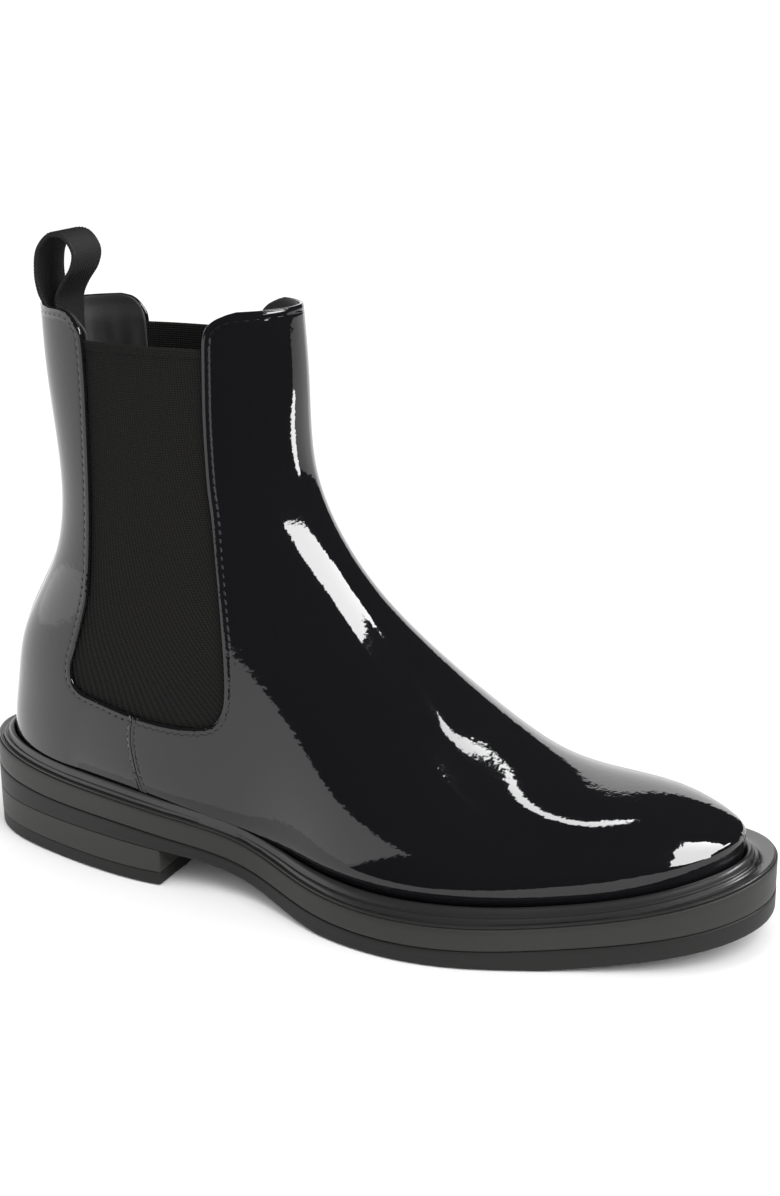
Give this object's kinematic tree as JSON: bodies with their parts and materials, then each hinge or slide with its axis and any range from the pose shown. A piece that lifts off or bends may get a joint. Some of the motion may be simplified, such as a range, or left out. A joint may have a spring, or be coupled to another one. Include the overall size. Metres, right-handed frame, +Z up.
{
  "type": "chelsea boot",
  "caption": "Right-foot ankle boot with elastic side panels, a storm welt, a stacked rubber sole and a pull loop; the back of the shaft opens as the panels stretch.",
  "frame": {"origin": "centre of the heel's resting face, on the ground plane", "axes": "+X from heel to toe, +Y towards the inner (medial) side, +Z up"},
  "size_m": [0.305, 0.1122, 0.2299],
  "materials": {
    "patent_leather": "high-gloss black patent leather, polished film over a faint grain",
    "lining_leather": "soft black lining leather with fine grain and light wrinkles",
    "elastic": "black-grey ribbed elastic webbing, matt",
    "webbing": "black twill webbing",
    "welt": "black dressed welt, semi-gloss bead",
    "midsole": "dark grey rubber, satin, finely brushed edge",
    "outsole": "darker grey rubber, satin",
    "heel": "dark grey rubber heel stack, satin",
    "top_piece": "dark grey hard rubber wear piece",
    "insole_board": "tan fibre board",
    "sock": "black leather over thin foam",
    "filler": "cork and binder filler",
    "stiffener": "thermoplastic stiffener sheet",
    "tape": "woven nylon reinforcing tape",
    "steel": "bare spring steel"
  },
  "bodies": {
    "root": {"vamp": "patent_leather", "quarter_lateral_heel": "patent_leather", "quarter_medial_heel": "patent_leather", "vamp_lining": "lining_leather", "heel_lining": "lining_leather", "elastic_gusset_lateral": "elastic", "elastic_gusset_medial": "elastic", "heel_counter": "stiffener", "toe_puff": "stiffener", "side_seam_tape_lateral": "tape", "side_seam_tape_medial": "tape", "storm_welt": "welt", "midsole": "midsole", "outsole": "outsole", "heel_block": "heel", "heel_top_piece": "top_piece", "heel_nail_1": "steel", "heel_nail_2": "steel", "heel_nail_3": "steel", "heel_nail_4": "steel", "heel_nail_5": "steel", "insole_board": "insole_board", "sock_liner": "sock", "heel_filler": "filler", "forefoot_filler": "filler", "shank": "steel"},
    "shaft_back": {"quarter_lateral_shaft": "patent_leather", "quarter_medial_shaft": "patent_leather", "quarter_lining": "lining_leather", "back_seam_tape": "tape", "pull_loop_tail": "webbing"},
    "pull_loop": {"pull_loop": "webbing"}
  },
  "joints": [
    {"name": "shaft_back_open", "type": "hinge", "parent": "root", "child": "shaft_back", "pos_m": [-0.02, 0, 0.072], "axis": [0, -1, 0], "range_deg": [0, 7], "deforming": ["elastic_gusset_lateral", "elastic_gusset_medial"]},
    {"name": "pull_loop_flop", "type": "hinge", "parent": "shaft_back", "child": "pull_loop", "pos_m": [-0.007, 0, 0.2065], "axis": [0, 1, 0], "range_deg": [-30, 40]}
  ]
}
